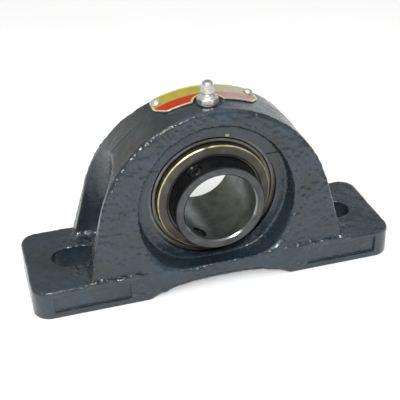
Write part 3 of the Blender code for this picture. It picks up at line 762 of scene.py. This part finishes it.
def make_drive_screws():
    top = 0.25 + 0.6 + 0.1
    for name, angle, y in (("drive_screw_left", -21.3, 7.6), ("drive_screw_right", 24.3, 7.6)):
        t = math.radians(angle)
        out = Vector((math.sin(t), 0, math.cos(t)))
        foot = Vector((0, y, ARCH_Z)) + out * ARCH_R
        head = arc_points((0.0, top - 0.9), 2.45, 90, 22, 9)
        profile = [(max(r, 0.0), h) for r, h in head]
        profile += [(2.38, top + 0.0), (1.15, top)]
        for k in range(5):
            h = top - 0.9 - k * 1.0
            profile += [(1.15, h), (1.28, h - 0.25), (1.28, h - 0.5), (1.05, h - 0.75)]
        profile += [(0.5, -5.6), (0.0, -5.8)]
        obj = turned(name + "_head", profile, [MAT["zinc"]], 40, frame_of=(foot, out, Vector((0, 1, 0))))
        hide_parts(name)
        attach(obj, "housing")


# ================================================================ grease fitting
def make_fitting():
    base = 80.45
    top, tip = 84.6, 90.4

    def field(x, y, z):
        yy = y - FITTING_Y
        r = np.hypot(x, yy)
        hexagon = -1e9
        for i in range(6):
            t = math.radians(60 * i + 14)
            hexagon = np.maximum(hexagon, x * math.cos(t) + yy * math.sin(t) - 4.0)
        hexagon = rounded_common(hexagon, np.abs(z - (base + top) / 2) - (top - base) / 2, 0.15)
        hexagon = rounded_common(hexagon, (r - 4.5 + (z - 83.2) * 1.25) / 1.6, 0.15)
        hexagon = rounded_common(hexagon, (r - 3.9 - (z - base) * 1.1) / 1.49, 0.15)
        flare = np.maximum(np.maximum(r - 2.3 - np.maximum(0, 85.4 - z) ** 1.4 * 1.1, z - 86.5), base - z)
        flare = rounded_common(flare * 0.8, r - 3.6, 0.2)
        head = np.interp(z, [84.6, 85.2, 85.7, 86.1, 89.4, 90.0, tip], [2.3, 2.35, 2.9, 3.1, 2.4, 2.15, 1.75])
        head = np.maximum(np.maximum((r - head) * 0.92, z - tip), 84.2 - z)
        pitch = 1.0
        thread = r - 2.72 - 0.16 * np.cos(2 * math.pi * (z / pitch) - np.arctan2(yy, x))
        thread = np.maximum(np.maximum(thread, z - base - 0.3), base - 4.8 - z)
        solid = np.minimum(rounded_union(rounded_union(hexagon, flare, 0.4), head, 0.25), thread)
        bore = np.interp(z, [base - 5, tip - 1.5, tip - 0.9, tip + 1], [1.55, 1.55, 0.85, 0.85])
        bore = np.where(z < base - 3.2, 0.8, bore)
        return np.maximum(solid, -(r - bore))

    step = 0.15
    points, quads = contour(field, (-5.83, FITTING_Y - 5.87, base - 5.07), (5.9, FITTING_Y + 5.9, tip + 0.3), step)
    obj = mesh_object("grease_fitting", points, quads, [MAT["zinc"]], sharp=38)
    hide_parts("grease_fitting_body")
    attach(obj, "housing")

    low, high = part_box("grease_check_ball")
    mid = (low + high) / 2
    ball = sphere("check_ball", mid / MM, 1.05, MAT["ball"], 24)
    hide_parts("grease_check_ball")
    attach(ball, "grease_check_ball")

    low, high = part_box("grease_spring")
    z0, z1 = low.z / MM + 0.17, high.z / MM - 0.17
    coil, wire, turns, per = 1.08, 0.17, 6, 20
    points, faces = [], []
    for i in range(turns * per + 1):
        t = 2 * math.pi * i / per
        c = Vector((coil * math.cos(t), coil * math.sin(t) + FITTING_Y, z0 + (z1 - z0) * i / (turns * per)))
        out = Vector((math.cos(t), math.sin(t), 0))
        for k in range(8):
            a = 2 * math.pi * k / 8
            points.append(c + out * wire * math.cos(a) + Vector((0, 0, wire * math.sin(a))))
    for i in range(turns * per):
        for k in range(8):
            m = (k + 1) % 8
            faces.append((i * 8 + k, (i + 1) * 8 + k, (i + 1) * 8 + m, i * 8 + m))
    faces.append(tuple(range(7, -1, -1)))
    faces.append(tuple(turns * per * 8 + k for k in range(8)))
    spring = mesh_object("check_spring", points, faces, [MAT["spring"]])
    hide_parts("grease_spring")
    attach(spring, "housing")


def sphere(name, centre, radius, mat, segments=40):
    bm = bmesh.new()
    bmesh.ops.create_uvsphere(bm, u_segments=segments, v_segments=segments // 2, radius=radius * MM)
    bmesh.ops.translate(bm, vec=Vector(centre) * MM, verts=bm.verts)
    mesh = bpy.data.meshes.new(name)
    bm.to_mesh(mesh)
    bm.free()
    mesh.materials.append(mat)
    mesh.shade_smooth()
    obj = bpy.data.objects.new(name, mesh)
    bpy.context.scene.collection.objects.link(obj)
    return obj


# ================================================================ insert
def make_rings():
    edge = math.degrees(math.asin(9.5 / 30.85))
    out = arc_points((0, 0), 30.85, -edge + 0.6, edge - 0.6, 26)
    race = arc_points((23.0, 0), 5.0, 53, -53, 18)
    profile = out + [(29.15, 9.5), (27.55, 9.5), (27.3, 9.25), (27.2, 7.1), (26.0, 7.1)]
    profile += race + [(26.0, -7.1), (27.2, -7.1), (27.3, -9.25), (27.55, -9.5), (29.15, -9.5)]

    def pick(r, y):
        return 1 if r < 28 and abs(y) < 7 else 0

    ring = turned("outer_race", profile, [MAT["ring"], MAT["race"]], 180, pick)
    pin = turned("pin_hole", [(0, 29.0), (1.6, 29.0), (1.6, 33), (0, 33)], [MAT["ring"]], 24,
                 frame_of=((0, 0, H), (0, 0, 1), (1, 0, 0)))
    cut_away(ring, [pin])
    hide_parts("outer_ring")
    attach(ring, "outer_ring")

    front, back = -22.2, 15.9
    outline = [(15.875, front), (15.875, back), (19.95, back), (19.95, front)]
    race = arc_points((23.0, 0), 5.0, 180 - 52, 180 + 52, 18)
    c = 0.6
    profile = [(15.875 + c, front), (15.875, front + c), (15.875, back - c), (15.875 + c, back), (19.95 - 0.55, back), (19.95, back - 0.55)]
    profile += [(19.95, race[0][1])] + race[1:-1] + [(19.95, race[-1][1])]
    profile += [(19.95, -9.4), (19.95, front + 0.7), (19.75, front + 0.22), (19.3, front)]

    def pick_inner(r, y):
        if abs(y) < 4.2 and r > 16.5:
            return 3
        if r < 15.9:
            return 2
        if r < 16.7:
            return 4
        if abs(y - front) < 0.05 or abs(y - back) < 0.05:
            return 1
        return 0

    ring = turned("inner_race", profile, [MAT["collar"], MAT["face"], MAT["bore"], MAT["race"], MAT["chamfer"]], 180, pick_inner)
    cutters = []
    for n, angle in enumerate((120.0, 240.0)):
        x, z = polar(angle, 1.0)
        hole = [(0, 12), (3.2, 12), (3.2, 19.1), (3.65, 19.75), (3.65, 24), (0, 24)]
        cutters.append(turned("screw_hole_%d" % n, hole, [MAT["collar"]], 48,
                              frame_of=((0, -16.7, H), (x, 0, z), (0, 1, 0))))
    cut_away(ring, cutters)
    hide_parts("inner_ring")
    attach(ring, "inner_ring")

    for n, angle in enumerate((120.0, 240.0), 1):
        x, z = polar(angle, 1.0)
        profile = [(0.0, 19.4), (2.45, 19.4), (2.88, 19.0)]
        for k in range(3):
            h = 18.9 - 0.6 * k
            profile += [(2.92, h - 0.1), (2.72, h - 0.35), (2.92, h - 0.55)]
        profile += [(2.7, 16.9), (2.0, 16.25), (1.4, 16.25), (0.9, 16.7), (0.0, 16.7)]
        screw = turned("grub_screw_%d" % n, profile, [MAT["screw"]], 48,
                       frame_of=((0, -16.7, H), (x, 0, z), (0, 1, 0)))
        socket = turned("hex_socket_%d" % n, [(0, 17.6), (1.72, 17.9), (1.72, 19.2), (2.0, 19.5), (2.0, 24), (0, 24)], [MAT["screw"]], 6,
                        frame_of=((0, -16.7, H), (x, 0, z), (0, 1, 0)))
        cut_away(screw, [socket])
        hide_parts("set_screw_%d" % n)
        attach(screw, "set_screw_%d" % n)


def make_seals():
    for word, side in (("front", -1), ("rear", 1)):
        case = turned(word + "_seal_shell", rounded_outline([
            (22.7, side * 7.6), (22.7, side * 8.1), (23.6, side * 8.25), (25.2, side * 8.3), (25.45, side * 9.7),
            (26.0, side * 9.8), (26.9, side * 9.6), (26.9, side * 7.5), (25.8, side * 7.5),
        ], [0.1, 0.1, 0.3, 0.3, 0.15, 0.2, 0.1, 0.1, 0.1]), [MAT["seal_case"]], 160, sharp=40)
        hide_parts(word + "_seal_case")
        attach(case, "outer_ring")
        lip = turned(word + "_seal_rubber", rounded_outline([
            (20.25, side * 8.9), (20.6, side * 9.0), (22.4, side * 8.3), (22.4, side * 7.5),
            (20.9, side * 7.5), (20.25, side * 7.9),
        ], [0.1, 0.12, 0.15, 0.1, 0.15, 0.15]), [MAT["rubber"]], 140)
        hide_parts(word + "_seal_lip")
        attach(lip, "outer_ring")

        outline = rounded_outline([
            (20.25, side * 13.0), (21.1, side * 13.0), (21.5, side * 13.7), (24.75, side * 12.95), (25.25, side * 12.6),
            (25.25, side * 10.2), (24.6, side * 10.2), (24.6, side * 12.25),
            (21.5, side * 12.9), (21.05, side * 12.4), (21.05, side * 9.9), (20.25, side * 9.9),
        ], [0.15, 0.15, 0.25, 0.12, 0.15, 0.1, 0.1, 0.3, 0.3, 0.2, 0.1, 0.1], 4)

        def pick(r, y, side=side):
            return 0 if r > 24.78 and abs(y) > 12.2 else 1

        flinger = turned(word + "_slinger", outline, [MAT["rim"], MAT["cone"]], 180, pick, sharp=50)
        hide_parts(word + "_flinger")
        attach(flinger, "inner_ring")


def make_balls_and_cage():
    for i in range(9):
        x, z = polar(110 + 40 * i, 23.0)
        ball = sphere("steel_ball_%d" % (i + 1), (x, 0, H + z), 4.7625, MAT["ball"], 36)
        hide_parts("ball_%d" % (i + 1))
        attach(ball, "ball_%d" % (i + 1))

    # ribbon cage: two pressed strips that bulge round each ball and meet flat between them
    pitch = 23.0
    per = 40
    total = 9 * per
    for name, side in (("front", -1), ("rear", 1)):
        points, faces = [], []
        for i in range(total):
            phase = (i % per) / per - 0.5
            angle = 110.0 + 40.0 * i / per + 20.0
            along = abs(phase) * 2 * math.pi * pitch / 9
            inside = 5.05
            flat = 0.16
            off = (2 * math.pi * pitch / 18) - along
            # distance from the nearest ball's centre line along the pitch circle
            bulge = math.sqrt(max(inside ** 2 - off ** 2, 0.0)) if off < inside else 0.0
            near = max(bulge, flat)
            t = 0.75
            outer = math.sqrt(max((inside + t) ** 2 - off ** 2, 0.0)) if off < inside + t else 0.0
            far = max(outer, flat + t)
            ux, uz = polar(angle, 1.0)
            for radius, y in ((22.1, near), (23.9, near), (23.9, far), (22.1, far)):
                points.append((radius * ux, side * y, H + radius * uz))
        for i in range(total):
            j = (i + 1) % total
            for k in range(4):
                m = (k + 1) % 4
                quad = (i * 4 + k, j * 4 + k, j * 4 + m, i * 4 + m)
                faces.append(quad if side > 0 else quad[::-1])
        cage = mesh_object(name + "_cage_ribbon", points, faces, [MAT["cage"]], sharp=40)
        bm = bmesh.new()
        bm.from_mesh(cage.data)
        bmesh.ops.recalc_face_normals(bm, faces=bm.faces)
        bm.to_mesh(cage.data)
        bm.free()
        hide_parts("cage_" + name)
        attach(cage, "cage")


def make_lock_pin():
    profile = rounded_outline([(0.0, 32.5), (1.3, 32.5), (1.3, 29.5), (0.0, 29.5)], [0, 0.3, 0.3, 0], 4)
    profile[0] = (0.0, 32.5)
    profile[-1] = (0.0, 29.5)
    pin = turned("anti_turn_pin", profile, [MAT["zinc"]], 32, frame_of=((0, 0, H), (0, 0, 1), (1, 0, 0)))
    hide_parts("lock_pin")
    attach(pin, "lock_pin")


# ================================================================ studio
def area_light(name, place, target, size, power, colour=(1, 1, 1), size_y=None):
    data = bpy.data.lights.new(name, "AREA")
    data.energy = power
    data.color = colour
    data.size = size
    if size_y:
        data.shape = "RECTANGLE"
        data.size_y = size_y
    obj = bpy.data.objects.new(name, data)
    obj.location = place
    obj.rotation_euler = (Vector(target) - Vector(place)).to_track_quat("-Z", "Y").to_euler()
    bpy.context.scene.collection.objects.link(obj)
    return obj


def make_studio():
    bm = bmesh.new()
    bmesh.ops.create_grid(bm, x_segments=1, y_segments=1, size=4.0)
    mesh = bpy.data.meshes.new("floor")
    bm.to_mesh(mesh)
    bm.free()
    mesh.materials.append(MAT["floor"])
    floor = bpy.data.objects.new("floor", mesh)
    floor.location = (0, 0, -0.0002)
    bpy.context.scene.collection.objects.link(floor)

    world = bpy.data.worlds.new("studio")
    bpy.context.scene.world = world
    world.use_nodes = True
    nodes, links = world.node_tree.nodes, world.node_tree.links
    back = nodes["Background"]
    where = nodes.new("ShaderNodeTexCoord").outputs["Generated"]
    parts = nodes.new("ShaderNodeSeparateXYZ")
    links.new(where, parts.inputs[0])

    def step(value, low, high):
        node = nodes.new("ShaderNodeMapRange")
        node.interpolation_type = "SMOOTHSTEP"
        node.inputs["From Min"].default_value = low
        node.inputs["From Max"].default_value = high
        links.new(value, node.inputs["Value"])
        return node.outputs["Result"]

    def towards(direction):
        node = nodes.new("ShaderNodeVectorMath")
        node.operation = "DOT_PRODUCT"
        links.new(where, node.inputs[0])
        node.inputs[1].default_value = Vector(direction).normalized()
        return node.outputs["Value"]

    def blend(factor, a, b):
        node = nodes.new("ShaderNodeMix")
        node.data_type = "RGBA"
        links.new(factor, node.inputs[0])
        for key, item in ((6, a), (7, b)):
            if hasattr(item, "links"):
                links.new(item, node.inputs[key])
            else:
                node.inputs[key].default_value = (*item, 1.0)
        return node.outputs[2]

    # a room with a bright ceiling, a paler side in front, a dark far wall and a warm window far left
    sky = blend(step(parts.outputs["Y"], -0.3, 0.5), (0.50, 0.55, 0.60), (0.13, 0.13, 0.12))
    sky = blend(step(parts.outputs["Z"], 0.30, 0.06), sky, (0.85, 0.87, 0.86))
    sky = blend(step(towards((-0.62, 0.70, 0.30)), 0.80, 0.98), sky, (0.90, 0.85, 0.68))
    sky = blend(step(towards((0.60, 0.80, 0.05)), 0.86, 0.98), sky, (1.5, 1.6, 1.6))
    sky = blend(step(towards((0.02, 0.80, 0.60)), 0.955, 0.995), sky, (0.58, 0.56, 0.51))
    sky = blend(step(parts.outputs["Z"], 0.58, 0.92), sky, (1.55, 1.55, 1.52))
    links.new(sky, back.inputs["Color"])
    back.inputs["Strength"].default_value = 0.76

    area_light("umbrella", (-0.27, -0.50, 0.72), (0, 0, 0.04), 0.30, 2.6, (1.0, 0.99, 0.97))
    area_light("spot", (-0.24, -0.64, 0.62), (0, 0, 0.05), 0.06, 5.5)
    # keeps the floor white where it shows through the bore
    data = bpy.data.lights.new("floor_wash", "SPOT")
    data.energy, data.spot_size, data.spot_blend, data.shadow_soft_size = 2.0, math.radians(20), 0.6, 0.03
    wash = bpy.data.objects.new("floor_wash", data)
    wash.location = (0.06, 0.34, 0.30)
    wash.rotation_euler = (Vector((0.02, 0.105, 0)) - wash.location).to_track_quat("-Z", "Y").to_euler()
    bpy.context.scene.collection.objects.link(wash)

    view = bpy.context.scene.view_settings
    view.view_transform = "Standard"
    view.look = "None"


def make_camera():
    data = bpy.data.cameras.new("camera")
    data.lens = 76.9
    data.sensor_width = 36.0
    data.clip_start, data.clip_end = 0.01, 20.0
    cam = bpy.data.objects.new("camera", data)
    back = Vector((-0.2397, -0.8134, 0.5301)).normalized()
    right = Vector((0.9592, -0.2827, 0.0)).normalized()
    up = back.cross(right).normalized()
    r = math.radians(-0.82)
    right2 = right * math.cos(r) + up * math.sin(r)
    up2 = up * math.cos(r) - right * math.sin(r)
    cam.matrix_world = Matrix((
        (right2.x, up2.x, back.x, -0.09434),
        (right2.y, up2.y, back.y, -0.31099),
        (right2.z, up2.z, back.z, 0.23403),
        (0, 0, 0, 1),
    ))
    bpy.context.scene.collection.objects.link(cam)
    bpy.context.scene.camera = cam


make_materials()
make_camera()
make_studio()
make_housing()
make_nameplate()
make_drive_screws()
make_fitting()
make_rings()
make_seals()
make_balls_and_cage()
make_lock_pin()

bpy.context.view_layer.update()
